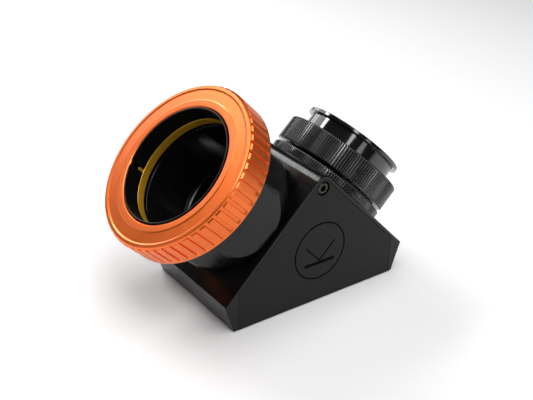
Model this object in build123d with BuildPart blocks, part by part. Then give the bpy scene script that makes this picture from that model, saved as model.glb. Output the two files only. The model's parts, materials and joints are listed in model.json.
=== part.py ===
"""Two-inch mirror star diagonal with a twist-lock eyepiece socket and a captive coupling ring.

Frame: millimetres, +Z up. The diagonal stands on its base, the face behind the mirror, with
the origin at the middle of that face. X runs along the base and Y across the body.
The light comes in along one leg, meets the mirror at MIRROR_CENTRE and leaves along the other:
the eyepiece leg points to -X and up, the telescope leg to +X and up.
Along each leg a station is a distance from MIRROR_CENTRE on that leg's axis.
"""
from build123d import *
import os
from math import radians, sin, sqrt

os.makedirs("parts", exist_ok=True)

# ---------------------------------------------------------------- driving dimensions
BORE_R = 25.5  # socket for a 50.8 mm eyepiece barrel
WIDTH = 59.3  # body, across Y
BASE_HALF = 43.7  # body, half its length at the base
SHOULDER_X = 48.2  # where the slanted ends meet the leg faces
SHOULDER_Z = 13.5
APEX_R = 5.0
MIRROR_Z = 14.0  # height of the reflecting surface

# ---------------------------------------------------------------- body
EDGE = 0.4
PATH_R = 24.0  # light path inside the body
NECK_R = 27.0  # threaded seats of the two leg fittings
NECK_START = 28.2
THREAD_GAP = 0.05

PLATE_T = 1.5
PLATE_RIM = 1.5  # body material left along the slopes outside a side plate
PLATE_END = 41.6  # half-length of a side plate
PLATE_GAP = 0.15
BOSS_R = 3.9
BOSS_DEPTH = 2.5
SCREW_Z = 54.0
MARK_Z = 24.5
MARK_R = 13.6
MARK_LINE = 0.7
MARK_DEPTH = 0.25

BACK_LENGTH, BACK_WIDTH, BACK_T = 82.0, 52.8, 3.0
BACK_CORNER = 3.0
BACK_GAP = 0.1
BACK_SCREW_X, BACK_SCREW_Y = 38.7, 19.5

MIRROR_LENGTH, MIRROR_WIDTH, MIRROR_T = 68.5, 47.5, 9.5
POCKET_LENGTH, POCKET_WIDTH = 73.0, 49.6

# ---------------------------------------------------------------- eyepiece leg, stations
LEDGE_R = 23.4
LEDGE_TOP = 37.5  # the eyepiece barrel stops here
COLLAR_TOP = 60.7
CUP_FOOT_R = 27.3  # the cup's round bottom rises from this circle on the housing
CUP_BEND, CUP_BEND_R = 38.4, 29.5
CUP_SIDE, CUP_SIDE_R = 45.5, 31.1
CUP_LIP, CUP_LIP_R = 59.2, 32.6
WIDE_FLAT, NARROW_FLAT = 27.5, 30.5  # distance of the finger flats from the axis, four of each
FLAT_ANGLE = -93.0
SPIGOT_R = 32.0
SPIGOT_TOP = 70.4
PIN_STATION = 66.0  # pin that stops the lock ring's turn
SEAT_BOTTOM, SEAT_STEP = 61.5, 68.0
SEAT_R, SEAT_TOP_R = 29.0, 30.0

SLEEVE_R = 28.9
SLEEVE_TOP = 75.0
SLEEVE_LIP_R = 26.1
CONE_START, CONE_END = 68.5, 72.5
CONE_END_R = 27.7
SLIT_W = 2.0
SLIT_ANGLE = 112.0

BRASS_START, BRASS_END = 63.15, 66.95
BRASS_R = 26.3
TAB_W, TAB_L = 1.3, 3.0

RING_START, RING_END = 61.7, 75.0
RING_R = 37.3
RING_BORE = 26.4
RING_NOSE = 0.7
RIBS = 56
RIB_DEPTH, GROOVE_W = 0.6, 1.6
RIB_START, RIB_END = 62.5, 74.1
RIB_CHAMFER = 0.5
RIB_ANGLE = -98.35
NOSE_R = RING_R - RIB_DEPTH
LOCK_TURN = 50.0  # degrees from open to locked
LOCK_TRAVEL = 0.8  # how far the ring screws in over that turn

# ---------------------------------------------------------------- telescope leg, stations
FLANGE_COLLAR_R = 28.45
FLANGE_COLLAR_END = 37.6
REST_R, REST_END = 24.5, 38.9
TUBE_R, TUBE_BORE = 22.0, 20.0
FLANGE_R = 24.05
FLANGE_START, TUBE_END = 57.2, 58.95
COUPLING_START, COUPLING_END = 39.0, 50.6
COUPLING_R = 28.57
COUPLING_LIP = 2.5
COUPLING_LIP_R = 22.3
COUPLING_BORE = 25.0  # crest of the 2 inch by 24 thread
KNURLS = 150
KNURL_DEPTH = 0.42

# ---------------------------------------------------------------- derived values
ROOT_HALF = sqrt(0.5)
EYE = Vector(-ROOT_HALF, 0, ROOT_HALF)
SCOPE = Vector(ROOT_HALF, 0, ROOT_HALF)
MIRROR_CENTRE = Vector(0, 0, MIRROR_Z)
APEX_Z = SHOULDER_X + SHOULDER_Z
LEG_FACE = (APEX_Z - MIRROR_Z) * ROOT_HALF
PLATE_Y = WIDTH / 2 - PLATE_T
NECK_SEAT = NECK_START - 0.2

EYE_AXIS = Axis(MIRROR_CENTRE, EYE)
SCOPE_AXIS = Axis(MIRROR_CENTRE, SCOPE)
# Half sections through each leg: x is the radius, y the station.
EYE_SECTION = Plane(origin=MIRROR_CENTRE, x_dir=SCOPE, z_dir=(0, -1, 0))
SCOPE_SECTION = Plane(origin=MIRROR_CENTRE, x_dir=-EYE, z_dir=(0, -1, 0))


def eye_plane(station):
    """Plane across the eyepiece leg, facing out."""
    return Plane(origin=MIRROR_CENTRE + EYE * station, x_dir=SCOPE, z_dir=EYE)


def scope_plane(station):
    """Plane across the telescope leg, facing out."""
    return Plane(origin=MIRROR_CENTRE + SCOPE * station, x_dir=-EYE, z_dir=SCOPE)


def radial_plane(leg_plane, angle, radius):
    """Plane facing away from a leg's axis, at an angle round it."""
    facing = leg_plane.x_dir.rotate(Axis((0, 0, 0), leg_plane.z_dir), angle)
    return Plane(origin=leg_plane.origin + facing * radius, x_dir=leg_plane.z_dir, z_dir=facing)


def side_plate_outline(gap):
    """Side plate seen from the front, smaller than its seat by a gap."""
    slope_z = APEX_Z - (PLATE_RIM + gap) * sqrt(2)
    end = PLATE_END - gap
    with BuildSketch() as outline:
        Polygon((-end, 0), (end, 0), (end, slope_z - end), (0, slope_z), (-end, slope_z - end), align=None)
        fillet(outline.vertices().sort_by(Axis.Y)[-1], APEX_R - PLATE_RIM - gap)
    return outline.sketch


# ---------------------------------------------------------------- housing
with BuildPart() as light_path:
    with BuildSketch(eye_plane(-PATH_R)):
        Circle(PATH_R)
    extrude(amount=2 * LEG_FACE)
    with BuildSketch(scope_plane(-PATH_R)):
        Circle(PATH_R)
    extrude(amount=2 * LEG_FACE)
    split(bisect_by=Plane.XY.offset(MIRROR_Z), keep=Keep.TOP)

with BuildPart() as housing:
    with BuildSketch(Plane.XZ):
        Polygon(
            (-BASE_HALF, 0),
            (BASE_HALF, 0),
            (SHOULDER_X, SHOULDER_Z),
            (0, APEX_Z),
            (-SHOULDER_X, SHOULDER_Z),
            align=None,
        )
    extrude(amount=WIDTH / 2, both=True)
    fillet(housing.edges().filter_by(Axis.Y).sort_by(Axis.Z)[-1], APEX_R)
    chamfer(housing.faces().filter_by(Axis.Y).edges(), EDGE)

    add(light_path.part, mode=Mode.SUBTRACT)
    with BuildSketch(eye_plane(NECK_SEAT), scope_plane(NECK_SEAT)):
        Circle(NECK_R)
    extrude(amount=LEG_FACE, mode=Mode.SUBTRACT)

    with BuildSketch(Plane.XY):
        Rectangle(POCKET_LENGTH, POCKET_WIDTH)
    extrude(amount=MIRROR_Z + 0.4, mode=Mode.SUBTRACT)
    with BuildSketch(Plane.XY):
        RectangleRounded(BACK_LENGTH + 2 * BACK_GAP, BACK_WIDTH + 2 * BACK_GAP, BACK_CORNER)
    extrude(amount=BACK_T, mode=Mode.SUBTRACT)
    with BuildSketch(Plane.XY.offset(BACK_T)):
        with GridLocations(2 * BACK_SCREW_X, 2 * BACK_SCREW_Y, 2, 2):
            Circle(1.0)
    extrude(amount=5.2, mode=Mode.SUBTRACT)

    for seat in (Plane.XZ.offset(PLATE_Y), Plane(origin=(0, PLATE_Y, 0), x_dir=(-1, 0, 0), z_dir=(0, 1, 0))):
        with BuildSketch(seat):
            add(side_plate_outline(0))
        extrude(amount=PLATE_T + 1, mode=Mode.SUBTRACT)
        with BuildSketch(seat):
            with Locations((0, SCREW_Z)):
                Circle(BOSS_R + PLATE_GAP)
        extrude(amount=-BOSS_DEPTH, mode=Mode.SUBTRACT)
        with BuildSketch(seat):
            with Locations((0, SCREW_Z)):
                Circle(1.5)
        extrude(amount=-11, mode=Mode.SUBTRACT)

# ---------------------------------------------------------------- side plates
FRONT_FACE = Plane.XZ.offset(WIDTH / 2)
REAR_FACE = Plane(origin=(0, WIDTH / 2, 0), x_dir=(-1, 0, 0), z_dir=(0, 1, 0))


def side_plate(face):
    """Inlaid plate with a boss behind its one screw, whose head sinks into both."""
    with BuildPart() as plate:
        with BuildSketch(face):
            add(side_plate_outline(PLATE_GAP))
        extrude(amount=-PLATE_T)
        with BuildSketch(face.offset(-PLATE_T)):
            with Locations((0, SCREW_Z)):
                Circle(BOSS_R)
        extrude(amount=-BOSS_DEPTH)
        with Locations(face):
            with Locations((0, SCREW_Z)):
                CounterBoreHole(radius=1.65, counter_bore_radius=3.1, counter_bore_depth=3.3)
        chamfer(plate.faces().sort_by(Axis.Y)[0 if face.z_dir.Y < 0 else -1].edges(), 0.12)
    return plate.part


with BuildPart() as front_side_plate:
    add(side_plate(FRONT_FACE))
    # The mark: a ring round a light path that turns on a mirror.
    with BuildSketch(FRONT_FACE):
        with Locations((0, MARK_Z)):
            Circle(MARK_R)
            Circle(MARK_R - MARK_LINE, mode=Mode.SUBTRACT)
        with Locations((-3.9, MARK_Z - 0.6)):
            Rectangle(11.0, MARK_LINE, rotation=-45)
        with Locations((3.9, MARK_Z - 0.6)):
            Rectangle(11.0, MARK_LINE, rotation=45)
        with Locations((0, MARK_Z - 5.6)):
            Rectangle(16.0, 1.6)
    extrude(amount=-MARK_DEPTH, mode=Mode.SUBTRACT)

with BuildPart() as rear_side_plate:
    add(side_plate(REAR_FACE))

with BuildPart() as side_plate_screws:
    for face in (FRONT_FACE, REAR_FACE):
        with BuildSketch(face.offset(-3.3)):
            with Locations((0, SCREW_Z)):
                Circle(2.75)
        extrude(amount=3.0)
        with BuildSketch(face.offset(-3.3)):
            with Locations((0, SCREW_Z)):
                Circle(1.5)
        extrude(amount=-9.0)
        with BuildSketch(face.offset(-0.3)):
            with Locations((0, SCREW_Z)):
                RegularPolygon(1.25, 6, major_radius=False)
        extrude(amount=-1.6, mode=Mode.SUBTRACT)

# ---------------------------------------------------------------- mirror and its back plate
with BuildPart() as back_plate:
    with BuildSketch(Plane.XY):
        RectangleRounded(BACK_LENGTH, BACK_WIDTH, BACK_CORNER)
    extrude(amount=BACK_T)
    chamfer(back_plate.faces().sort_by(Axis.Z)[0].edges(), 0.3)
    with Locations(Plane(origin=(0, 0, 0), z_dir=(0, 0, -1))):
        with GridLocations(2 * BACK_SCREW_X, 2 * BACK_SCREW_Y, 2, 2):
            CounterSinkHole(radius=1.1, counter_sink_radius=2.0, counter_sink_angle=90)

with BuildPart() as back_plate_screws:
    with BuildSketch(Plane.XZ):
        Polygon((0, 0.1), (1.88, 0.1), (1.0, 0.98), (1.0, 8.0), (0, 8.0), align=None)
    revolve(axis=Axis.Z)
    with BuildSketch(Plane.XY):
        RegularPolygon(0.65, 6, major_radius=False)
    extrude(amount=0.9, mode=Mode.SUBTRACT)
back_screw = back_plate_screws.part
with BuildPart() as back_plate_screws:
    with GridLocations(2 * BACK_SCREW_X, 2 * BACK_SCREW_Y, 2, 2):
        add(back_screw)

with BuildPart() as mirror:
    with BuildSketch(Plane.XY.offset(MIRROR_Z - MIRROR_T)):
        Rectangle(MIRROR_LENGTH, MIRROR_WIDTH)
    extrude(amount=MIRROR_T)
    chamfer(mirror.edges().filter_by(Axis.Z), 1.0)
    chamfer(mirror.faces().sort_by(Axis.Z)[-1].edges(), 0.3)

with BuildPart() as mirror_pads:
    with BuildSketch(Plane.XY.offset(BACK_T)):
        with PolarLocations(16.0, 3):
            Circle(5.0)
    extrude(amount=MIRROR_Z - MIRROR_T - BACK_T)


def baffle(section, axis, inner):
    """Stop pressed into the light path below a leg fitting, with a sharp inner edge."""
    start = NECK_SEAT - 1.8
    with BuildPart() as stop:
        with BuildSketch(section):
            Polygon(
                (inner, start),
                (PATH_R - 0.02, start),
                (PATH_R - 0.02, NECK_SEAT - 0.1),
                (inner + 0.9, NECK_SEAT - 0.1),
                align=None,
            )
        revolve(axis=axis)
    return stop.part


with BuildPart() as eyepiece_baffle:
    add(baffle(EYE_SECTION, EYE_AXIS, 22.4))

with BuildPart() as telescope_baffle:
    add(baffle(SCOPE_SECTION, SCOPE_AXIS, 20.4))

# ---------------------------------------------------------------- eyepiece holder
with BuildPart() as eyepiece_holder:
    with BuildSketch(EYE_SECTION):
        with BuildLine():
            Polyline(
                (CUP_SIDE_R, CUP_SIDE),
                (CUP_SIDE_R + 0.4, CUP_LIP - 1.5),
                (CUP_LIP_R, CUP_LIP),
                (CUP_LIP_R, COLLAR_TOP),
                (SPIGOT_R, COLLAR_TOP),
                (SPIGOT_R, SPIGOT_TOP),
                (SEAT_TOP_R, SPIGOT_TOP),
                (SEAT_TOP_R, SEAT_STEP),
                (SEAT_R, SEAT_STEP),
                (SEAT_R, SEAT_BOTTOM),
                (BORE_R, SEAT_BOTTOM),
                (BORE_R, LEDGE_TOP),
                (LEDGE_R, LEDGE_TOP),
                (LEDGE_R, NECK_START),
                (NECK_R - THREAD_GAP, NECK_START),
                (NECK_R - THREAD_GAP, LEG_FACE),
                (CUP_FOOT_R, LEG_FACE),
            )
            ThreePointArc((CUP_FOOT_R, LEG_FACE), (CUP_BEND_R, CUP_BEND), (CUP_SIDE_R, CUP_SIDE))
        make_face()
    revolve(axis=EYE_AXIS)
    for flat, turn in ((WIDE_FLAT, 0), (NARROW_FLAT, 45)):
        with BuildSketch(eye_plane(LEG_FACE)):
            Circle(RING_R)
            Rectangle(2 * flat, 2 * flat, rotation=FLAT_ANGLE + turn, mode=Mode.SUBTRACT)
        extrude(amount=COLLAR_TOP - LEG_FACE, mode=Mode.SUBTRACT)
    with BuildSketch(radial_plane(eye_plane(PIN_STATION), 0, SEAT_R - 0.5)):
        Circle(1.0)
    extrude(amount=5, mode=Mode.SUBTRACT)

with BuildPart() as lock_stop_pin:
    with BuildSketch(radial_plane(eye_plane(PIN_STATION), 0, SEAT_R + 0.1)):
        Circle(1.0)
    extrude(amount=4.0)
    chamfer(lock_stop_pin.edges().filter_by(GeomType.CIRCLE), 0.15)

# ---------------------------------------------------------------- split sleeve and brass ring
with BuildPart() as collet_sleeve:
    with BuildSketch(EYE_SECTION):
        Polygon(
            (BORE_R, SEAT_BOTTOM + 0.05),
            (SLEEVE_R, SEAT_BOTTOM + 0.05),
            (SLEEVE_R, CONE_START),
            (CONE_END_R, CONE_END),
            (SLEEVE_LIP_R, CONE_END),
            (SLEEVE_LIP_R, SLEEVE_TOP - 0.1),
            (SLEEVE_LIP_R - 0.1, SLEEVE_TOP),
            (BORE_R + 0.2, SLEEVE_TOP),
            (BORE_R, SLEEVE_TOP - 0.3),
            (BORE_R, BRASS_END + 0.05),
            (BRASS_R + 0.1, BRASS_END + 0.05),
            (BRASS_R + 0.1, BRASS_START - 0.05),
            (BORE_R, BRASS_START - 0.05),
            align=None,
        )
    revolve(axis=EYE_AXIS)
    with BuildSketch(radial_plane(eye_plane(SEAT_BOTTOM), SLIT_ANGLE, BORE_R - 1)):
        with Locations((0, 0)):
            Rectangle(4 * RING_R, SLIT_W)
    extrude(amount=5, mode=Mode.SUBTRACT)

with BuildPart() as compression_ring:
    with BuildSketch(EYE_SECTION):
        Polygon(
            (BORE_R, BRASS_START + 0.2),
            (BORE_R + 0.2, BRASS_START),
            (BRASS_R, BRASS_START),
            (BRASS_R, BRASS_END),
            (BORE_R + 0.2, BRASS_END),
            (BORE_R, BRASS_END - 0.2),
            align=None,
        )
    revolve(axis=EYE_AXIS)
    with BuildSketch(radial_plane(eye_plane(BRASS_START), SLIT_ANGLE + 180, BORE_R - 1)):
        Rectangle(4 * RING_R, 3.0)
    extrude(amount=4, mode=Mode.SUBTRACT)
    # Tab that keys the ring into the sleeve's slit.
    tab_plane = radial_plane(eye_plane(BRASS_END), SLIT_ANGLE, BORE_R + 0.2)
    with BuildSketch(tab_plane):
        with Locations((TAB_L / 2 - 0.5, 0)):
            RectangleRounded(TAB_L + 1.0, TAB_W, 0.5)
    extrude(amount=0.6)

# ---------------------------------------------------------------- slip ring and lock ring
CONE_SLOPE = (SLEEVE_R - CONE_END_R) / (CONE_END - CONE_START)
SLIP_GAP = 0.36  # between the two cones while the lock is open


def slip_cone(station):
    """Radius of the slip ring's inner cone."""
    return SLEEVE_R - CONE_SLOPE * (station - CONE_START) + SLIP_GAP


with BuildPart() as slip_ring:
    with BuildSketch(EYE_SECTION):
        Polygon(
            (slip_cone(70.0), 70.0),
            (29.65, 70.0),
            (29.65, 71.5),
            (31.3, 71.5),
            (31.3, 73.3),
            (slip_cone(73.3), 73.3),
            align=None,
        )
    revolve(axis=EYE_AXIS)

with BuildPart() as lock_ring:
    with BuildSketch(EYE_SECTION):
        Polygon(
            (SPIGOT_R + 0.08, RING_START),
            (RING_R - 0.4, RING_START),
            (RING_R, RING_START + 0.4),
            (RING_R, RIB_END - RIB_CHAMFER),
            (NOSE_R, RIB_END),
            (NOSE_R, RING_END),
            (29.7, RING_END),
            (RING_BORE + 0.5, RING_END - 0.2),
            (RING_BORE, RING_END - 0.6),
            (RING_BORE, 73.5),
            (31.6, 73.5),
            (31.6, 71.3),
            (SPIGOT_R + 0.08, 71.3),
            align=None,
        )
    revolve(axis=EYE_AXIS)
    nose_edges = lock_ring.edges().filter_by(GeomType.CIRCLE).filter_by(lambda e: abs(e.radius - NOSE_R) < 0.01)
    fillet(nose_edges.sort_by(EYE_AXIS)[-1], RING_NOSE)
    with BuildSketch(EYE_SECTION):
        with Locations((34.7, RING_END)):
            Rectangle(0.3, 0.5)
    revolve(axis=EYE_AXIS, mode=Mode.SUBTRACT)
    with BuildSketch(eye_plane(RIB_START)):
        with PolarLocations(RING_R, RIBS, start_angle=RIB_ANGLE + 180 / RIBS):
            Rectangle(2 * RIB_DEPTH, GROOVE_W)
    extrude(amount=RIB_END - RIB_START, mode=Mode.SUBTRACT)
    # Recess, open to the rear, in which the stop pin limits the turn.
    pin_margin = 2.4
    with BuildSketch(eye_plane(RING_START)):
        with BuildLine():
            inner = CenterArc((0, 0), SPIGOT_R - 0.5, -pin_margin, LOCK_TURN + 2 * pin_margin)
            outer = CenterArc((0, 0), 33.6, -pin_margin, LOCK_TURN + 2 * pin_margin)
            Line(inner @ 0, outer @ 0)
            Line(inner @ 1, outer @ 1)
        make_face()
    extrude(amount=68.3 - RING_START, mode=Mode.SUBTRACT)

# ---------------------------------------------------------------- telescope side
with BuildPart() as adapter_collar:
    with BuildSketch(SCOPE_SECTION):
        Polygon(
            (TUBE_R + THREAD_GAP, NECK_START),
            (NECK_R - THREAD_GAP, NECK_START),
            (NECK_R - THREAD_GAP, LEG_FACE),
            (FLANGE_COLLAR_R - 0.4, LEG_FACE),
            (FLANGE_COLLAR_R, LEG_FACE + 0.4),
            (FLANGE_COLLAR_R, FLANGE_COLLAR_END - 0.4),
            (FLANGE_COLLAR_R - 0.4, FLANGE_COLLAR_END),
            (REST_R, FLANGE_COLLAR_END),
            (REST_R, REST_END),
            (TUBE_R + THREAD_GAP, REST_END),
            align=None,
        )
    revolve(axis=SCOPE_AXIS)
    with BuildSketch(scope_plane(LEG_FACE)):
        with PolarLocations(FLANGE_COLLAR_R, KNURLS):
            Rectangle(KNURL_DEPTH * sqrt(2), KNURL_DEPTH * sqrt(2), rotation=45)
    extrude(amount=FLANGE_COLLAR_END - LEG_FACE, mode=Mode.SUBTRACT)
    GRUB_STATION = (LEG_FACE + FLANGE_COLLAR_END) / 2
    with BuildSketch(radial_plane(scope_plane(GRUB_STATION), 90, TUBE_R)):
        Circle(1.0)
    extrude(amount=8, mode=Mode.SUBTRACT)

with BuildPart() as collar_grub_screw:
    with BuildSketch(radial_plane(scope_plane(GRUB_STATION), 90, TUBE_R + 0.1)):
        Circle(1.0)
    extrude(amount=5.4)
    with BuildSketch(radial_plane(scope_plane(GRUB_STATION), 90, TUBE_R + 5.5)):
        RegularPolygon(0.45, 6, major_radius=False)
    extrude(amount=-1.2, mode=Mode.SUBTRACT)

with BuildPart() as telescope_barrel:
    with BuildSketch(SCOPE_SECTION):
        Polygon(
            (TUBE_BORE, NECK_START),
            (TUBE_R, NECK_START),
            (TUBE_R, FLANGE_START),
            (FLANGE_R, FLANGE_START),
            (FLANGE_R, TUBE_END),
            (TUBE_BORE + 0.5, TUBE_END),
            (TUBE_BORE, TUBE_END - 0.5),
            align=None,
        )
    revolve(axis=SCOPE_AXIS)
    fillet(telescope_barrel.edges().filter_by(GeomType.CIRCLE).group_by(SortBy.RADIUS)[-1], 0.3)

with BuildPart() as coupling_ring:
    LIP_TOP = COUPLING_START + COUPLING_LIP
    with BuildSketch(SCOPE_SECTION):
        Polygon(
            (COUPLING_LIP_R, COUPLING_START),
            (COUPLING_R - 0.5, COUPLING_START),
            (COUPLING_R, COUPLING_START + 0.5),
            (COUPLING_R, COUPLING_END - 0.5),
            (COUPLING_R - 0.5, COUPLING_END),
            (COUPLING_BORE + 0.7, COUPLING_END),
            (COUPLING_BORE, COUPLING_END - 0.7),
            (COUPLING_BORE, LIP_TOP),
            (COUPLING_LIP_R, LIP_TOP),
            align=None,
        )
    revolve(axis=SCOPE_AXIS)
    with BuildSketch(scope_plane(COUPLING_START)):
        with PolarLocations(COUPLING_R, KNURLS):
            Rectangle(KNURL_DEPTH * sqrt(2), KNURL_DEPTH * sqrt(2), rotation=45)
    extrude(amount=COUPLING_END - COUPLING_START, mode=Mode.SUBTRACT)

with BuildPart() as coupling_washer:
    with BuildSketch(SCOPE_SECTION):
        with Locations(((COUPLING_LIP_R + 24.5) / 2, LIP_TOP + 0.5)):
            Rectangle(24.5 - COUPLING_LIP_R, 0.8)
    revolve(axis=SCOPE_AXIS)

# ---------------------------------------------------------------- export
PIECES = {
    "housing": housing,
    "front_side_plate": front_side_plate,
    "rear_side_plate": rear_side_plate,
    "side_plate_screws": side_plate_screws,
    "back_plate": back_plate,
    "back_plate_screws": back_plate_screws,
    "mirror": mirror,
    "mirror_pads": mirror_pads,
    "eyepiece_baffle": eyepiece_baffle,
    "telescope_baffle": telescope_baffle,
    "eyepiece_holder": eyepiece_holder,
    "lock_stop_pin": lock_stop_pin,
    "collet_sleeve": collet_sleeve,
    "compression_ring": compression_ring,
    "slip_ring": slip_ring,
    "lock_ring": lock_ring,
    "adapter_collar": adapter_collar,
    "collar_grub_screw": collar_grub_screw,
    "telescope_barrel": telescope_barrel,
    "coupling_ring": coupling_ring,
    "coupling_washer": coupling_washer,
}
for piece_name, piece in PIECES.items():
    piece.part.label = piece_name
    export_step(piece.part, f"parts/{piece_name}.step")
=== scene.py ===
import json
import math

import bmesh
import bpy
import numpy as np
from mathutils import Matrix, Vector


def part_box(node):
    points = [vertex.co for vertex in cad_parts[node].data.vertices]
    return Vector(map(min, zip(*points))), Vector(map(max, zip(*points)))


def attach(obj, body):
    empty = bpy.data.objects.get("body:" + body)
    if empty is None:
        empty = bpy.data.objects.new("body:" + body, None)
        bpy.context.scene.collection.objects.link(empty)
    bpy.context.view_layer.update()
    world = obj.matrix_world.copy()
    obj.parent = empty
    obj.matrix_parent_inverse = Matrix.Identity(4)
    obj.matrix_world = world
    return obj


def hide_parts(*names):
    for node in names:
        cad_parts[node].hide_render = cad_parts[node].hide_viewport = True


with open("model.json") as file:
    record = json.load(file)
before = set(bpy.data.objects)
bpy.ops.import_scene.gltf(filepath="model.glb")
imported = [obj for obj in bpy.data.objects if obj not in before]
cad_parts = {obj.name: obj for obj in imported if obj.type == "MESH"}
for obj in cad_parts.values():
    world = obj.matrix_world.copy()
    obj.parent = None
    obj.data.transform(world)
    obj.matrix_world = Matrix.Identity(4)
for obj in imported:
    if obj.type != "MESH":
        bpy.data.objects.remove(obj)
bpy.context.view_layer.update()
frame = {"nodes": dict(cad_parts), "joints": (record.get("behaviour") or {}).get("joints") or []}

MM = 0.001
JOINTS = {j["name"]: j for j in frame["joints"]}

# ---------------------------------------------------------------- driving dimensions, millimetres
# A station is a distance from the mirror's centre along a leg. R stands for a radius.
# Eyepiece holder: threaded neck, round-bottomed cup with flats, seats and spigot.
BORE_R = 25.5
NECK_R = 26.9
LEG_FACE = 33.74
LEDGE_TOP, LEDGE_R = 37.5, 23.4
CUP_FOOT_R = 27.3
CUP_SIDE, CUP_SIDE_R = 45.5, 31.1
CUP = ((CUP_FOOT_R, LEG_FACE), (29.5, 38.4), (CUP_SIDE_R, CUP_SIDE))
CUP_SHOULDER, CUP_SHOULDER_R = 57.7, 31.5
CUP_LIP, CUP_LIP_R = 59.2, 32.6
COLLAR_TOP = 60.7
WIDE_FLAT, NARROW_FLAT = 27.5, 30.5
FLAT_ANGLE = math.radians(-93.0)
FLAT_EDGE, FLAT_EDGE_WIDTH = 0.045, 0.16
SEAT_BOTTOM, SEAT_R = 61.5, 29.0
SEAT_STEP, SEAT_TOP_R = 68.0, 30.0
SPIGOT_TOP, SPIGOT_R = 70.4, 32.0

# Split sleeve and brass ring.
SLEEVE_R, SLEEVE_LIP_R, SLEEVE_MID_R = 28.9, 26.1, 26.0
CONE_START, CONE_END, CONE_END_R = 68.5, 72.5, 27.7
SLIT_ANGLE = math.radians(112)
SLIT_WIDTH, BAND_GAP = 2.0, 3.0
BRASS_START, BRASS_END, BRASS_R = 63.15, 66.95, 26.3
BRASS_SEAT_R, BRASS_SEAT_GAP = 26.4, 0.05
TAB_HALF, TAB_LENGTH = 0.65, 3.0
TAB_INNER_R, TAB_OUTER_R = 25.66, 26.2

# Lock ring: bores from the back to the face, ribs, and the recess in its face.
RING_BORE_R = 32.08
RING_LIP_R, RING_LIP_BOTTOM = 26.4, 73.5
CONE_RING_R, CONE_RING_BOTTOM = 31.6, 71.3
RIBS = 56
RIB_ANGLE = math.radians(-98.35)
RIB_DEPTH, RIB_HALF = 0.6, 1.3
RIB_RAMP = 1.5
RECESS_OUTER_R, RECESS_INNER_R, RECESS_DEPTH = 34.45, 30.05, 0.32

# Telescope leg: collar, barrel and coupling ring, with their threads and knurls.
COLLAR_BORE_R, COLLAR_REST_R = 22.05, 24.5
COLLAR_KNURL, COLLAR_REST = 5.17, 1.3
TUBE_R, TUBE_BORE_R = 22.0, 20.0
COUPLING_LIP, COUPLING_LIP_R = 2.5, 22.3
COUPLING_BORE_R = 25.0
THREAD_PITCH = 25.4 / 24
THREAD_DEPTH = 0.45
FILTER_PITCH, FILTER_DEPTH = 0.75, 0.28
KNURLS = 150
KNURL_DEPTH = 0.30
KNURL_COLUMNS = 8

# Screws of the side plates.
SCREW_HEAD_R, SCREW_HEAD_H, SOCKET_HALF = 2.75, 3.0, 1.25
SCREW_R, SCREW_LENGTH, SOCKET_DEPTH = 1.5, 9.0, 1.6
HEAD_KNURLS = 44

# ---------------------------------------------------------------- the two legs
ORIGIN = Vector(JOINTS["coupling_turn"]["pos_m"])
SCOPE = Vector(JOINTS["coupling_turn"]["axis"]).normalized()
EYE = -Vector(JOINTS["lock_turn"]["axis"]).normalized()
ACROSS = Vector((0, 1, 0))


class Leg:
    """Cylinder coordinates round one leg: radius and station in millimetres, angle in radians."""

    def __init__(self, axis, start):
        self.axis = axis
        self.start = start
        self.side = axis.cross(start)

    def points(self, radius, angle, station):
        """Points in metres in the frame of the part."""
        radius, angle, station = np.broadcast_arrays(radius, angle, station)
        directions = np.array([self.start, self.side, self.axis])
        local = np.stack([radius * np.cos(angle), radius * np.sin(angle), station], -1) * MM
        return local @ directions + np.array(ORIGIN)


EYE_LEG = Leg(EYE, SCOPE)
SCOPE_LEG = Leg(SCOPE, -EYE)


def stations(node, leg):
    """Lowest and highest station and the largest radius of a CAD node, in millimetres."""
    co = np.array([v.co for v in frame["nodes"][node].data.vertices]) - np.array(ORIGIN)
    along = co @ np.array(leg.axis)
    radius = np.linalg.norm(co - np.outer(along, leg.axis), axis=1)
    return along.min() / MM, along.max() / MM, radius.max() / MM


# ---------------------------------------------------------------- mesh helpers
def finish_mesh(obj, material, body, sharp=32.0, nodes=()):
    """Smooth shading with crisp creases, a material, and a place on a body."""
    mesh = obj.data
    mesh.validate()
    for polygon in mesh.polygons:
        polygon.use_smooth = True
    mesh.set_sharp_from_angle(angle=math.radians(sharp))
    weighted = obj.modifiers.new("even_normals", "WEIGHTED_NORMAL")
    weighted.keep_sharp = True
    mesh.materials.append(material)
    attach(obj, body)
    if nodes:
        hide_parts(*nodes)


def mesh_object(name, vertices, faces):
    """Object with merged points and outward faces, placed in the scene."""
    mesh = bpy.data.meshes.new(name)
    mesh.from_pydata([tuple(v) for v in vertices], [], [tuple(f) for f in faces])
    bm = bmesh.new()
    bm.from_mesh(mesh)
    bmesh.ops.remove_doubles(bm, verts=bm.verts, dist=1e-7)
    bmesh.ops.dissolve_degenerate(bm, edges=bm.edges, dist=1e-7)
    bmesh.ops.recalc_face_normals(bm, faces=bm.faces)
    bm.to_mesh(mesh)
    bm.free()
    obj = bpy.data.objects.new(name, mesh)
    bpy.context.scene.collection.objects.link(obj)
    return obj


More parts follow.
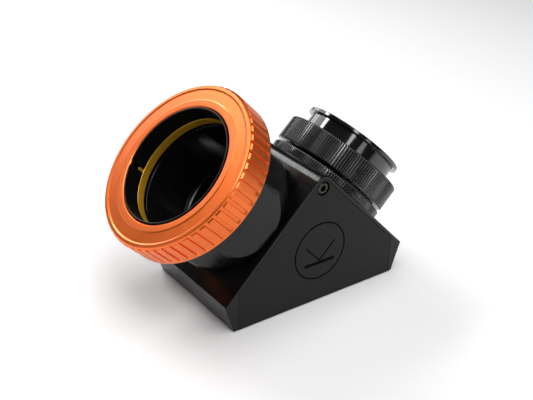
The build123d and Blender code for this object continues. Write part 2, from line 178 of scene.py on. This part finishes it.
def rounded(corners, steps=4):
    """Closed outline of (radius, station, rounding) corners, with each corner rounded by an arc."""
    outline = []
    count = len(corners)
    for i, (x, y, size) in enumerate(corners):
        here = Vector((x, y))
        if size <= 0:
            outline.append(here)
            continue
        before = Vector(corners[i - 1][:2]) - here
        after = Vector(corners[(i + 1) % count][:2]) - here
        half = before.angle(after) / 2
        reach = min(size / math.tan(half), 0.48 * before.length, 0.48 * after.length)
        size = reach * math.tan(half)
        before.normalize()
        after.normalize()
        centre = here + (before + after).normalized() * (size / math.sin(half))
        a = here + before * reach - centre
        b = here + after * reach - centre
        sweep = a.angle_signed(b)
        for k in range(steps + 1):
            turn = -sweep * k / steps
            outline.append(centre + Matrix.Rotation(turn, 2) @ a)
    return [(p.x, p.y) for p in outline]


def grid_faces(rows, columns):
    """Quads of a grid that closes both ways."""
    faces = []
    for r in range(rows):
        for c in range(columns):
            a = r * columns + c
            b = r * columns + (c + 1) % columns
            d = ((r + 1) % rows) * columns + c
            e = ((r + 1) % rows) * columns + (c + 1) % columns
            faces.append((a, b, e, d))
    return faces


def turned(name, leg, outline, angles=None, shape=None):
    """Ring with a closed outline turned round a leg. shape(radius, angle, station) may cut into it."""
    if angles is None:
        angles = np.linspace(0, 2 * math.pi, 288, endpoint=False)
    radius = np.array([p[0] for p in outline])[:, None] + 0 * angles[None]
    station = np.array([p[1] for p in outline])[:, None] + 0 * angles[None]
    angle = angles[None] + 0 * radius
    if shape:
        radius = shape(radius, angle, station)
    vertices = leg.points(radius, angle, station).reshape(-1, 3)
    return mesh_object(name, vertices, grid_faces(len(outline), len(angles)))


def open_ring(name, leg, outline, start, end, columns=240):
    """Ring with a gap: the outline is turned from one angle to another and both ends are closed."""
    angles = np.linspace(start, end, columns)
    radius = np.array([p[0] for p in outline])
    station = np.array([p[1] for p in outline])
    vertices = leg.points(radius[:, None], angles[None], station[:, None]).reshape(-1, 3)
    rows = len(outline)
    faces = []
    for r in range(rows):
        for c in range(columns - 1):
            a = r * columns + c
            d = ((r + 1) % rows) * columns + c
            faces.append((a, a + 1, d + 1, d))
    faces.append([r * columns for r in range(rows)])
    faces.append([r * columns + columns - 1 for r in reversed(range(rows))])
    return mesh_object(name, vertices, faces)


# ---------------------------------------------------------------- material helpers
class Shader:
    """One material's node tree, with short calls for the nodes it is made of."""

    def __init__(self, name):
        self.material = bpy.data.materials.new(name)
        self.material.use_nodes = True
        self.tree = self.material.node_tree
        self.tree.nodes.clear()
        self.surface = self.add("ShaderNodeBsdfPrincipled")
        output = self.add("ShaderNodeOutputMaterial")
        self.tree.links.new(self.surface.outputs["BSDF"], output.inputs["Surface"])
        self.place = self.add("ShaderNodeTexCoord").outputs["Object"]

    def add(self, kind, **settings):
        node = self.tree.nodes.new(kind)
        for key, value in settings.items():
            setattr(node, key, value)
        return node

    def feed(self, socket, value):
        """Link another node's output to a socket, or set the socket's own value."""
        if isinstance(value, bpy.types.NodeSocket):
            self.tree.links.new(value, socket)
        else:
            socket.default_value = value

    def math(self, operation, a, b=0.0):
        node = self.add("ShaderNodeMath", operation=operation)
        for socket, value in zip(node.inputs, (a, b)):
            self.feed(socket, value)
        return node.outputs[0]

    def vector(self, operation, a, b=(0, 0, 0)):
        node = self.add("ShaderNodeVectorMath", operation=operation)
        self.feed(node.inputs[0], a)
        if operation != "LENGTH":
            self.feed(node.inputs[1], b)
        return node.outputs["Value" if operation in ("DOT_PRODUCT", "LENGTH") else "Vector"]

    def noise(self, vector, scale, detail=2.0, roughness=0.5):
        node = self.add("ShaderNodeTexNoise")
        self.feed(node.inputs["Vector"], vector)
        node.inputs["Scale"].default_value = scale
        node.inputs["Detail"].default_value = detail
        node.inputs["Roughness"].default_value = roughness
        return node.outputs["Fac"]

    def noise_along(self, value, scale, detail=2.0):
        """Noise that changes along one number only."""
        node = self.add("ShaderNodeTexNoise", noise_dimensions="1D")
        self.feed(node.inputs["W"], value)
        node.inputs["Scale"].default_value = scale
        node.inputs["Detail"].default_value = detail
        return node.outputs["Fac"]

    def span(self, value, low, high, to_low, to_high):
        """The value carried from the span low..high to the span to_low..to_high."""
        node = self.add("ShaderNodeMapRange")
        for socket, number in zip(node.inputs, (value, low, high, to_low, to_high)):
            self.feed(socket, number)
        return node.outputs[0]

    def mix(self, factor, a, b):
        node = self.add("ShaderNodeMix", data_type="RGBA")
        self.feed(node.inputs["Factor"], factor)
        self.feed(node.inputs[6], a)
        self.feed(node.inputs[7], b)
        return node.outputs[2]

    def bump(self, height, distance, strength):
        node = self.add("ShaderNodeBump")
        node.inputs["Strength"].default_value = strength
        node.inputs["Distance"].default_value = distance
        self.feed(node.inputs["Height"], height)
        return node.outputs["Normal"]

    def set(self, **values):
        """Feed the surface shader's sockets, named with _ for each space."""
        for key, value in values.items():
            self.feed(self.surface.inputs[key.replace("_", " ")], value)

    def leg_numbers(self, leg):
        """Station and radius round a leg, in metres."""
        place = self.vector("SUBTRACT", self.place, tuple(ORIGIN))
        station = self.vector("DOT_PRODUCT", place, tuple(leg.axis))
        radius = self.vector("LENGTH", self.vector("CROSS_PRODUCT", place, tuple(leg.axis)))
        return station, radius


def grey(value):
    return (value, value, value, 1.0)


def turned_metal(
    name, leg, colour, worn, metallic, roughness, marks, mark_scale=2600.0, specular=0.5, coat=0.0
):
    """Anodised or bare metal off a lathe: fine circular tool marks, uneven gloss and paler worn spots."""
    s = Shader(name)
    station, radius = s.leg_numbers(leg)
    rings = s.math("ADD", s.noise_along(station, mark_scale, 3.0), s.noise_along(radius, mark_scale, 3.0))
    bands = s.math("ADD", s.noise_along(station, 260.0), s.noise_along(radius, 260.0))
    cloud = s.noise(s.place, 160.0, 4.0, 0.6)
    speck = s.noise(s.place, 4200.0, 2.0)
    tone = s.math("ADD", s.math("MULTIPLY", cloud, 0.7), s.math("MULTIPLY", bands, 0.25))
    s.set(
        Base_Color=s.mix(s.span(tone, 0.35, 0.85, 0.0, 1.0), colour, worn),
        Metallic=metallic,
        Roughness=s.span(s.math("ADD", rings, cloud), 0.9, 2.1, roughness - 0.06, roughness + 0.08),
    )
    height = s.math("ADD", rings, s.math("MULTIPLY", speck, 0.35))
    s.set(Normal=s.bump(height, marks, 0.55), Specular_IOR_Level=specular)
    s.set(Coat_Weight=coat, Coat_Roughness=0.16)
    return s


def milled_metal(name, colour, worn, metallic, roughness, streaks, specular=0.5):
    """Anodised metal off a milling cutter: long streaks that follow the slopes and vary across the body."""
    s = Shader(name)
    stretched = s.vector("MULTIPLY", s.place, (60.0, 3400.0, 60.0))
    fine = s.noise(stretched, 1.0, 3.0, 0.6)
    broad = s.noise(s.vector("MULTIPLY", s.place, (30.0, 420.0, 30.0)), 1.0, 2.0)
    cloud = s.noise(s.place, 90.0, 4.0, 0.6)
    speck = s.noise(s.place, 5200.0, 2.0)
    s.set(
        Base_Color=s.mix(s.span(s.math("ADD", cloud, broad), 0.7, 1.4, 0.0, 1.0), colour, worn),
        Metallic=metallic,
        Roughness=s.span(s.math("ADD", fine, broad), 0.6, 1.4, roughness - 0.07, roughness + 0.08),
    )
    height = s.math("ADD", fine, s.math("MULTIPLY", speck, 0.3))
    s.set(Normal=s.bump(height, streaks, 0.6), Specular_IOR_Level=specular)
    return s


def blasted_metal(name, colour, worn, roughness, grain, specular=0.5):
    """Bead-blasted and anodised side plate: a fine grain, a faint mottle, and painted shade in the
    engraving, whose recess is painted near black and made a non-reflecting metal.
    """
    s = Shader(name)
    pits = s.noise(s.place, 5200.0, 3.0, 0.65)
    coarse = s.noise(s.place, 1500.0, 2.0)
    cloud = s.noise(s.place, 70.0, 5.0, 0.6)
    face = -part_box("front_side_plate")[0].y
    across = s.math("ABSOLUTE", s.vector("DOT_PRODUCT", s.place, tuple(ACROSS)))
    # painted shade: wherever the plate lies more than 0.1 mm below its face (the engraved recess), the base
    # colour is painted near black and the surface is made metallic, so the groove reflects almost nothing
    # and reads dark
    painted_engraving_shade = s.span(s.math("SUBTRACT", face, across), 0.0001, 0.0002, 0.0, 1.0)
    surface = s.mix(s.span(cloud, 0.3, 0.7, 0.0, 1.0), colour, worn)
    s.set(
        Base_Color=s.mix(painted_engraving_shade, surface, grey(0.0005)),
        Metallic=painted_engraving_shade,
        Roughness=s.span(s.math("ADD", pits, cloud), 0.7, 1.3, roughness - 0.05, roughness + 0.05),
    )
    height = s.math("ADD", pits, s.math("MULTIPLY", coarse, 0.5))
    s.set(Normal=s.bump(height, grain, 0.6), Specular_IOR_Level=specular)
    return s


# ---------------------------------------------------------------- materials
HOUSING = milled_metal("housing_anodised", grey(0.001), grey(0.003), 0.0, 0.20, 0.00003, 0.3)
HOLDER = turned_metal(
    "holder_anodised", EYE_LEG, grey(0.003), grey(0.005), 0.0, 0.22, 0.000005, specular=0.35
)
SLEEVE = turned_metal(
    "sleeve_anodised", EYE_LEG, grey(0.0015), grey(0.003), 0.0, 0.38, 0.00001, specular=0.25
)
ORANGE = turned_metal(
    "orange_anodised",
    EYE_LEG,
    (0.88, 0.150, 0.016, 1.0),
    (0.91, 0.180, 0.026, 1.0),
    0.8,
    0.33,
    0.000014,
    coat=0.35,
)
PLATE = blasted_metal("plate_anodised", grey(0.006), grey(0.009), 0.44, 0.000012, 0.2)
BRIGHT = turned_metal(
    "bright_black_anodised", SCOPE_LEG, grey(0.0015), grey(0.003), 0.0, 0.08, 0.000001, 3400.0, 1.0
)
KNURL = turned_metal(
    "knurl_anodised", SCOPE_LEG, grey(0.0015), grey(0.004), 0.0, 0.13, 0.000002, 3400.0, 1.0
)
BRASS = turned_metal(
    "brass", EYE_LEG, (0.74, 0.38, 0.018, 1.0), (0.80, 0.44, 0.035, 1.0), 0.6, 0.34, 0.000005
)
STEEL = turned_metal("steel", EYE_LEG, grey(0.04), (0.07, 0.063, 0.05, 1.0), 1.0, 0.28, 0.00001, 1800.0)


def moulded(name, dark, pale, cloud_scale, grain_scale, grain, rough):
    """Moulded plastic or rubber: cloudy tone and gloss, and a fine grain."""
    s = Shader(name)
    cloud = s.noise(s.place, cloud_scale, 4.0)
    s.set(
        Base_Color=s.mix(cloud, dark, pale),
        Roughness=s.span(cloud, 0.2, 0.8, *rough),
        Normal=s.bump(s.noise(s.place, grain_scale, 3.0), grain, 0.5),
    )
    return s


def mirror_material():
    """Coated top face; the ground sides and back of the glass are pale and rough."""
    s = Shader("coated_mirror")
    facing = s.add("ShaderNodeSeparateXYZ")
    s.feed(facing.inputs[0], s.add("ShaderNodeTexCoord").outputs["Normal"])
    coated = s.math("GREATER_THAN", facing.outputs[2], 0.9)
    dust = s.noise(s.place, 3000.0, 2.0)
    s.set(
        Base_Color=s.mix(coated, (0.55, 0.62, 0.60, 1.0), (0.93, 0.94, 0.95, 1.0)),
        Metallic=coated,
        Roughness=s.math("ADD", s.span(coated, 0.0, 1.0, 0.45, 0.02), s.span(dust, 0.62, 0.8, 0.0, 0.05)),
    )
    return s


NYLON = moulded("nylon", grey(0.010), grey(0.016), 220.0, 2800.0, 0.00001, (0.42, 0.55))
SILICONE = moulded("silicone", grey(0.55), grey(0.66), 300.0, 1800.0, 0.00002, (0.5, 0.65))
MIRROR = mirror_material()

# ---------------------------------------------------------------- lock ring
RING_START, RING_END, RING_R = stations("lock_ring", EYE_LEG)
RIB_START, RIB_END = RING_START + 0.4, RING_END - 0.9
RIB_PITCH = 2 * math.pi / RIBS


def ease(value, start, end):
    """0 before start, 1 after end, smooth between."""
    t = np.clip((value - start) / (end - start), 0, 1)
    return t * t * (3 - 2 * t)


def rib_cut(radius, angle, station):
    """Grooves between the raised ribs: eased walls, fading out at the back and open at the front."""
    across = np.abs((angle - RIB_ANGLE + RIB_PITCH / 2) % RIB_PITCH - RIB_PITCH / 2) * RING_R
    wall = ease(across, RIB_HALF - 0.08, RIB_HALF + 0.12)
    depth = RIB_DEPTH * wall * ease(station, RIB_START, RIB_START + RIB_RAMP)
    return np.where(radius > RING_R - 1.3, np.minimum(radius, RING_R - depth), radius)


def lock_ring():
    """Orange twist ring with raised ribs and a shallow recess in its face."""
    offsets = [0.0, 0.6, 1.1, 1.22, 1.27, 1.32, 1.37, 1.42, 1.6]
    offsets = sorted({-x for x in offsets} | set(offsets))
    angles = np.array([RIB_ANGLE + k * RIB_PITCH + x / RING_R for k in range(RIBS) for x in offsets])
    neck = RING_R - RIB_DEPTH
    outline = rounded(
        [
            (RING_BORE_R, RING_START, 0.2),
            (RING_R, RING_START, 0.4),
            *[(RING_R, RIB_START + RIB_RAMP * k / 6, 0) for k in range(1, 7)],
            (RING_R, (RIB_START + RIB_END) / 2, 0),
            (RING_R, RIB_END - 0.55, 0.1),
            (neck, RIB_END, 0.08),
            (neck, RING_END - 0.45, 0.3),
            (neck - 0.45, RING_END, 0.3),
            (RECESS_OUTER_R + 0.6, RING_END, 0.15),
            (RECESS_OUTER_R, RING_END - RECESS_DEPTH, 0.2),
            (RECESS_INNER_R, RING_END - RECESS_DEPTH, 0.2),
            (RECESS_INNER_R - 0.55, RING_END - 0.04, 0.15),
            (RING_LIP_R + 0.55, RING_END - 0.15, 0.25),
            (RING_LIP_R, RING_END - 0.7, 0.2),
            (RING_LIP_R, RING_LIP_BOTTOM, 0.1),
            (CONE_RING_R, RING_LIP_BOTTOM, 0),
            (CONE_RING_R, CONE_RING_BOTTOM, 0),
            (RING_BORE_R, CONE_RING_BOTTOM, 0),
        ]
    )
    obj = turned("twist_ring", EYE_LEG, outline, angles, rib_cut)
    finish_mesh(obj, ORANGE.material, "lock_ring", nodes=["lock_ring"])


# ---------------------------------------------------------------- knurled rings
KNURL_ANGLES = np.linspace(0, 2 * math.pi, KNURLS * KNURL_COLUMNS, endpoint=False)


def knurl_cut(outer):
    """Straight knurl on a ring of that outer radius: flat crests, a quarter of the pitch wide."""

    def cut(radius, angle, station):
        wave = KNURL_DEPTH * np.maximum(0, 0.4 - 0.6 * np.cos(angle * KNURLS))
        return np.where(radius > outer - 1.2, np.minimum(radius, outer - wave), radius)

    return cut


def thread_grooves(bore, depth, station, last, pitch, groove):
    """Corners of thread grooves in a bore from station down to last, and the station after them.

    groove holds the distances from a crest's edge to both corners of the root and to the next crest.
    """
    near, far, crest = groove
    corners = []
    while station > last:
        corners += [(bore, station, 0), (bore + depth, station - near, 0)]
        corners += [(bore + depth, station - far, 0), (bore, station - crest, 0)]
        station -= pitch
    return corners, station


def coupling_ring():
    """Captive knurled ring with a 2 inch by 24 thread in its mouth."""
    start, end, outer = stations("coupling_ring", SCOPE_LEG)
    lip = start + COUPLING_LIP
    corners = [
        (COUPLING_LIP_R, start, 0.25),
        (outer - 0.6, start, 0.1),
        (outer, start + 0.6, 0.1),
        (outer, (start + end) / 2, 0),
        (outer, end - 0.5, 0.1),
        (outer - 0.5, end, 0.1),
        (COUPLING_BORE_R + 0.75, end, 0.1),
        (COUPLING_BORE_R, end - 0.75, 0.05),
    ]
    last = lip + 0.9 + THREAD_PITCH
    grooves, station = thread_grooves(
        COUPLING_BORE_R, THREAD_DEPTH, end - 1.0, last, THREAD_PITCH, (0.42, 0.54, 0.94)
    )
    corners += grooves
    corners += [(COUPLING_BORE_R, station, 0), (COUPLING_BORE_R + 0.5, station - 0.3, 0)]
    corners += [(COUPLING_BORE_R + 0.5, lip, 0.2), (COUPLING_LIP_R, lip, 0.2)]
    obj = turned("knurled_coupling", SCOPE_LEG, rounded(corners), KNURL_ANGLES, knurl_cut(outer))
    finish_mesh(obj, KNURL.material, "coupling_ring", nodes=["coupling_ring"])


def adapter_collar():
    """Thin knurled collar with a neck below and a rest for the coupling ring above."""
    start, end, outer = stations("adapter_collar", SCOPE_LEG)
    face = end - COLLAR_KNURL
    shoulder = end - COLLAR_REST
    corners = [
        (COLLAR_BORE_R, start, 0),
        (NECK_R, start, 0.3),
        (NECK_R, face, 0),
        (outer - 0.35, face, 0.08),
        (outer, face + 0.35, 0.08),
        (outer, shoulder - 0.4, 0.08),
        (outer - 0.4, shoulder, 0.08),
        (COLLAR_REST_R, shoulder, 0.15),
        (COLLAR_REST_R, end, 0.2),
        (COLLAR_BORE_R, end, 0.1),
    ]
    obj = turned("knurled_collar", SCOPE_LEG, rounded(corners), KNURL_ANGLES, knurl_cut(outer))
    finish_mesh(obj, KNURL.material, "diagonal_body", nodes=["adapter_collar"])


def telescope_barrel():
    """Plain tube with an end flange, a relief behind the flange and a filter thread in its bore."""
    start, end, outer = stations("telescope_barrel", SCOPE_LEG)
    flange = end - 1.72
    corners = [
        (TUBE_BORE_R, start, 0),
        (TUBE_R, start, 0),
        (TUBE_R, end - 1.95, 0),
        (TUBE_R - 0.2, end - 1.85, 0.03),
        (TUBE_R - 0.2, flange, 0.03),
        (outer, flange, 0.28),
        (outer, end, 0.35),
        (TUBE_BORE_R + 0.5, end, 0.12),
        (TUBE_BORE_R, end - 0.5, 0.1),
    ]
    corners += thread_grooves(
        TUBE_BORE_R, FILTER_DEPTH, end - 2.0, start + 3, FILTER_PITCH, (0.3, 0.4, 0.7)
    )[0]
    obj = turned("barrel_tube", SCOPE_LEG, rounded(corners, 6))
    finish_mesh(obj, BRIGHT.material, "diagonal_body", nodes=["telescope_barrel"])


# ---------------------------------------------------------------- eyepiece holder
QUARTER = math.pi / 2
EIGHTH = QUARTER / 2


def cup_radius(station):
    """Radius of the cup's round bottom: an arc through the three points of CUP."""
    (r1, s1), (r2, s2), (r3, s3) = CUP
    d = 2 * (r1 * (s2 - s3) + r2 * (s3 - s1) + r3 * (s1 - s2))
    q1, q2, q3 = r1 * r1 + s1 * s1, r2 * r2 + s2 * s2, r3 * r3 + s3 * s3
    centre_r = (q1 * (s2 - s3) + q2 * (s3 - s1) + q3 * (s1 - s2)) / d
    centre_s = (q1 * (r3 - r2) + q2 * (r1 - r3) + q3 * (r2 - r1)) / d
    size = math.hypot(r1 - centre_r, s1 - centre_s)
    return centre_r + math.sqrt(size**2 - (station - centre_s) ** 2)


def cup_columns(radius, meet, rim):
    """Angles from the middle of a wide flat to the middle of a narrow one, with columns on both edges."""
    wide = math.acos(min(1.0, WIDE_FLAT / radius))
    wide = min(max(wide, 3 * rim), meet - 2.2 * rim)
    narrow = EIGHTH - math.acos(min(1.0, NARROW_FLAT / radius))
    narrow = max(min(narrow, EIGHTH - 3 * rim), meet + 2.2 * rim)
    turns = [(wide - rim) * x for x in (0.0, 0.25, 0.5, 0.75)] + [wide - rim, wide, wide + rim]
    turns += [wide + rim + (narrow - wide - 2 * rim) * x for x in (0.17, 0.33, 0.5, 0.67, 0.83)]
    turns += [narrow - rim, narrow, narrow + rim]
    turns += [narrow + rim + (EIGHTH - narrow - rim) * x for x in (0.33, 0.67, 1.0)]
    return turns, wide, narrow


def eyepiece_holder():
    """Round-bottomed cup with eight finger flats. The mesh's columns follow the edges of the flats."""
    start = stations("eyepiece_holder", EYE_LEG)[0]
    outside = [(NECK_R, start), (NECK_R, LEG_FACE)]
    outside += [(CUP_FOOT_R - 0.15, LEG_FACE), (CUP_FOOT_R + 0.02, LEG_FACE + 0.12)]
    outside += [(cup_radius(s), s) for s in np.linspace(LEG_FACE + 0.3, CUP_SIDE, 44)]
    bends = ((CUP_SIDE_R, CUP_SIDE), (CUP_SHOULDER_R, CUP_SHOULDER), (CUP_LIP_R, CUP_LIP))
    for (r1, s1), (r2, s2) in zip(bends, bends[1:]):
        outside += [(r1 + (r2 - r1) * x, s1 + (s2 - s1) * x) for x in np.linspace(0.1, 1.0, 10)]
    outside += [(CUP_LIP_R, COLLAR_TOP - 0.2), (CUP_LIP_R - 0.2, COLLAR_TOP)]
    inside = rounded(
        [
            (SPIGOT_R, COLLAR_TOP, 0),
            (SPIGOT_R, SPIGOT_TOP, 0.2),
            (SEAT_TOP_R, SPIGOT_TOP, 0.2),
            (SEAT_TOP_R, SEAT_STEP, 0),
            (SEAT_R, SEAT_STEP, 0),
            (SEAT_R, SEAT_BOTTOM, 0),
            (BORE_R + 0.1, SEAT_BOTTOM, 0),
            (BORE_R, SEAT_BOTTOM - 0.1, 0),
            (BORE_R, LEDGE_TOP + 0.3, 0.1),
            (LEDGE_R + 0.5, LEDGE_TOP, 0.1),
            (LEDGE_R, LEDGE_TOP - 0.5, 0.05),
            (LEDGE_R, start, 0),
        ]
    )
    rim = FLAT_EDGE_WIDTH / WIDE_FLAT
    meet = math.atan((NARROW_FLAT / WIDE_FLAT - math.cos(EIGHTH)) / math.sin(EIGHTH))
    vertices = []
    columns = 0
    for i, (radius, station) in enumerate(outside + inside):
        on_cup = 2 < i < len(outside)
        turns, wide, narrow = cup_columns(radius if on_cup else SEAT_R, meet, rim)
        turns = [-x for x in reversed(turns[1:-1])] + turns
        columns = len(turns) * 4
        for k in range(4):
            for turn in turns:
                here = radius
                if on_cup:
                    across = abs(turn)
                    here = min(radius, WIDE_FLAT / math.cos(across), NARROW_FLAT / math.cos(EIGHTH - across))
                    near_wide = 1 - abs(across - wide) / rim if radius > WIDE_FLAT else 0
                    near_narrow = 1 - abs(across - narrow) / rim if radius > NARROW_FLAT else 0
                    here -= FLAT_EDGE * max(0, near_wide, near_narrow)
                vertices.append((here, FLAT_ANGLE + k * QUARTER + turn, station))
    vertices = np.array(vertices)
    points = EYE_LEG.points(vertices[:, 0], vertices[:, 1], vertices[:, 2])
    obj = mesh_object("holder_body", points, grid_faces(len(outside) + len(inside), columns))
    finish_mesh(obj, HOLDER.material, "diagonal_body", sharp=7, nodes=["eyepiece_holder"])


# ---------------------------------------------------------------- sleeve and brass ring
def slit_ring(name, outline, angle, width):
    """Open ring on the eyepiece leg with a gap of that width at an angle."""
    half = width / 2 / SLEEVE_MID_R
    return open_ring(name, EYE_LEG, rounded(outline), angle + half, angle + 2 * math.pi - half)


def collet_sleeve():
    """Split sleeve with the outer cone and the seat of the brass ring."""
    start, end, _ = stations("collet_sleeve", EYE_LEG)
    seat_start, seat_end = BRASS_START - BRASS_SEAT_GAP, BRASS_END + BRASS_SEAT_GAP
    corners = [
        (BORE_R, start, 0.05),
        (SLEEVE_R, start, 0.1),
        (SLEEVE_R, CONE_START, 0.1),
        (CONE_END_R, CONE_END, 0.1),
        (SLEEVE_LIP_R, CONE_END, 0.1),
        (SLEEVE_LIP_R, end, 0.14),
        (BORE_R, end, 0.28),
        (BORE_R, seat_end, 0.08),
        (BRASS_SEAT_R, seat_end, 0),
        (BRASS_SEAT_R, seat_start, 0),
        (BORE_R, seat_start, 0.08),
    ]
    obj = slit_ring("split_sleeve", corners, SLIT_ANGLE, SLIT_WIDTH)
    finish_mesh(obj, SLEEVE.material, "diagonal_body", nodes=["collet_sleeve"])


def compression_ring():
    """Brass band with an open gap, and a rounded tab that keys it into the sleeve's slit."""
    end = BRASS_END
    corners = [
        (BORE_R, BRASS_START, 0.25),
        (BRASS_R, BRASS_START, 0.1),
        (BRASS_R, end, 0.1),
        (BORE_R, end, 0.3),
    ]
    band = slit_ring("brass_band", corners, SLIT_ANGLE + math.pi, BAND_GAP)
    outline = [
        (end - 0.6, -TAB_HALF),
        (end + TAB_LENGTH - 0.6, -TAB_HALF),
        (end + TAB_LENGTH - 0.15, 0.2 - TAB_HALF),
        (end + TAB_LENGTH, 0.0),
    ]
    outline += [(station, -side) for station, side in reversed(outline[:-1])]
    vertices = []
    for level in (TAB_INNER_R, TAB_OUTER_R):
        for station, side in outline:
            lift = 0.25 * max(0.0, station - end - 1.5)
            vertices.append(EYE_LEG.points(level + lift * 0.2, SLIT_ANGLE + side / level, station))
    count = len(outline)
    faces = [tuple(range(count)), tuple(range(2 * count - 1, count - 1, -1))]
    faces += [(i, (i + 1) % count, count + (i + 1) % count, count + i) for i in range(count)]
    tab = mesh_object("brass_tab", vertices, faces)
    soften = tab.modifiers.new("eased_edges", "BEVEL")
    soften.width = 0.1 * MM
    soften.segments = 3
    finish_mesh(band, BRASS.material, "diagonal_body", nodes=["compression_ring"])
    finish_mesh(tab, BRASS.material, "diagonal_body")
    tab.parent = band
    tab.matrix_parent_inverse = Matrix.Identity(4)


# ---------------------------------------------------------------- side plate screws
def cap_screw(name, facing):
    """Socket-cap screw with a knurled head and a hexagonal socket, seen along Y. facing is -1 or 1."""
    low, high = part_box("side_plate_screws")
    top = (low.y if facing < 0 else high.y) / MM * facing
    centre = Vector(((low.x + high.x) / 2, 0, (low.z + high.z) / 2)) / MM
    columns = HEAD_KNURLS * 4
    angles = np.linspace(0, 2 * math.pi, columns, endpoint=False)
    groove = 0.09 * (0.5 + 0.5 * np.cos(angles * HEAD_KNURLS))
    hexagon = SOCKET_HALF / np.cos((angles + math.pi / 6) % (math.pi / 3) - math.pi / 6)
    rows = [
        (np.full(columns, 0.01), -SCREW_LENGTH),
        (np.full(columns, SCREW_R - 0.2), -SCREW_LENGTH),
        (np.full(columns, SCREW_R), 0.3 - SCREW_LENGTH),
        (np.full(columns, SCREW_R), -SCREW_HEAD_H),
        (SCREW_HEAD_R - 0.1 - groove, -SCREW_HEAD_H),
        (SCREW_HEAD_R - groove, -SCREW_HEAD_H + 0.15),
        (SCREW_HEAD_R - groove, -0.55),
        (SCREW_HEAD_R - 0.12 - groove * 0.5, -0.3),
        (np.full(columns, SCREW_HEAD_R - 0.3), -0.08),
        (np.full(columns, SCREW_HEAD_R - 0.45), 0.0),
        (hexagon + 0.16, 0.0),
        (hexagon + 0.05, -0.06),
        (hexagon, -0.2),
        (hexagon, -SOCKET_DEPTH),
        (np.full(columns, 0.01), -SOCKET_DEPTH - 0.4),
    ]
    vertices = []
    for radius, height in rows:
        for r, a in zip(radius, angles):
            y = facing * (top + height)
            vertices.append((MM * (centre.x + r * math.cos(a)), MM * y, MM * (centre.z + r * math.sin(a))))
    faces = grid_faces(len(rows), columns)[: -columns]
    last = (len(rows) - 1) * columns
    faces += [tuple(range(columns)), tuple(range(last, last + columns))]
    return mesh_object(name, vertices, faces)


def side_plate_screws():
    """One screw at the apex of each side plate."""
    front = cap_screw("cap_screw_front", -1)
    rear = cap_screw("cap_screw_rear", 1)
    finish_mesh(front, STEEL.material, "diagonal_body", nodes=["side_plate_screws"])
    finish_mesh(rear, STEEL.material, "diagonal_body")


lock_ring()
coupling_ring()
adapter_collar()
telescope_barrel()
eyepiece_holder()
collet_sleeve()
compression_ring()
side_plate_screws()

# ---------------------------------------------------------------- finishes of the CAD nodes that stay
NODE_FINISH = {
    "housing": HOUSING,
    "front_side_plate": PLATE,
    "rear_side_plate": PLATE,
    "back_plate": HOUSING,
    "back_plate_screws": STEEL,
    "mirror": MIRROR,
    "mirror_pads": SILICONE,
    "eyepiece_baffle": SLEEVE,
    "telescope_baffle": SLEEVE,
    "lock_stop_pin": STEEL,
    "collar_grub_screw": STEEL,
    "slip_ring": NYLON,
    "coupling_washer": NYLON,
}
for node, finish in NODE_FINISH.items():
    materials = frame["nodes"][node].data.materials
    materials.clear()
    materials.append(finish.material)

# ---------------------------------------------------------------- floor, light and camera
FLOOR_Z = -0.0003
FLOOR_REACH = 3.0
WORLD_STRENGTH = 0.06


def floor():
    """Plain pale floor under the object."""
    mesh = bpy.data.meshes.new("floor")
    signs = ((-1, -1), (1, -1), (1, 1), (-1, 1))
    mesh.from_pydata([(x * FLOOR_REACH, y * FLOOR_REACH, FLOOR_Z) for x, y in signs], [], [(0, 1, 2, 3)])
    obj = bpy.data.objects.new("floor", mesh)
    bpy.context.scene.collection.objects.link(obj)
    s = Shader("pale_floor")
    s.set(
        Base_Color=s.mix(s.noise(s.place, 6.0), grey(0.93), grey(0.95)),
        Roughness=0.85,
    )
    mesh.materials.append(s.material)


def softbox(name, place, aim, size, power):
    """Rectangular area light at a place, turned to what it is aimed at."""
    light = bpy.data.lights.new(name, "AREA")
    light.shape = "RECTANGLE"
    light.size, light.size_y = size
    light.energy = power
    obj = bpy.data.objects.new(name, light)
    obj.location = place
    obj.rotation_euler = (Vector(aim) - Vector(place)).to_track_quat("-Z", "Y").to_euler()
    bpy.context.scene.collection.objects.link(obj)


def lighting():
    """A light tent with dark sides: a soft ceiling and back, and small strong boxes for the highlights.

    Each box has a direction from the object, a distance, a size and a radiance.
    """
    centre = Vector((-0.01, 0, 0.045))
    boxes = {
        "ceiling": ((0.01, -0.15, 0.98), 0.72, (0.7, 0.7), 3.1),
        "back_wall": ((0.17, 0.92, 0.32), 1.1, (0.5, 0.6), 2.6),
        "back_box": ((-0.20, 0.86, 0.46), 0.95, (0.50, 0.40), 2.0),
        "apex_strip": ((-0.12, 0.71, 0.69), 0.90, (0.60, 0.14), 12.0),
        "front_top": ((-0.21, -0.59, 0.78), 0.80, (0.32, 0.32), 5.0),
        "front_window": ((-0.08, -0.95, 0.30), 0.60, (0.12, 0.16), 1.8),
    }
    for name, (direction, distance, size, radiance) in boxes.items():
        place = centre + distance * Vector(direction).normalized()
        softbox(name, place, centre, size, radiance * math.pi * size[0] * size[1])
    world = bpy.context.scene.world or bpy.data.worlds.new("studio")
    bpy.context.scene.world = world
    world.use_nodes = True
    nodes = world.node_tree.nodes
    background = nodes.get("Background") or nodes.new("ShaderNodeBackground")
    background.inputs["Color"].default_value = grey(1.0)
    background.inputs["Strength"].default_value = WORLD_STRENGTH
    bpy.context.scene.view_settings.view_transform = "Standard"


def camera():
    """Camera at the photograph's viewing angle."""
    data = bpy.data.cameras.new("camera")
    data.sensor_width = 36.0
    data.lens = 60.13
    data.clip_start = 0.01
    obj = bpy.data.objects.new("camera", data)
    right = Vector((0.81157, -0.58378, 0.02367))
    up = Vector((0.25218, 0.38655, 0.88712))
    back = Vector((-0.52703, -0.71399, 0.46093))
    place = Vector((-0.2123, -0.2780, 0.2174))
    turn = Matrix((right, up, back)).transposed()
    obj.matrix_world = Matrix.Translation(place) @ turn.to_4x4()
    bpy.context.scene.collection.objects.link(obj)
    bpy.context.scene.camera = obj


floor()
lighting()
camera()
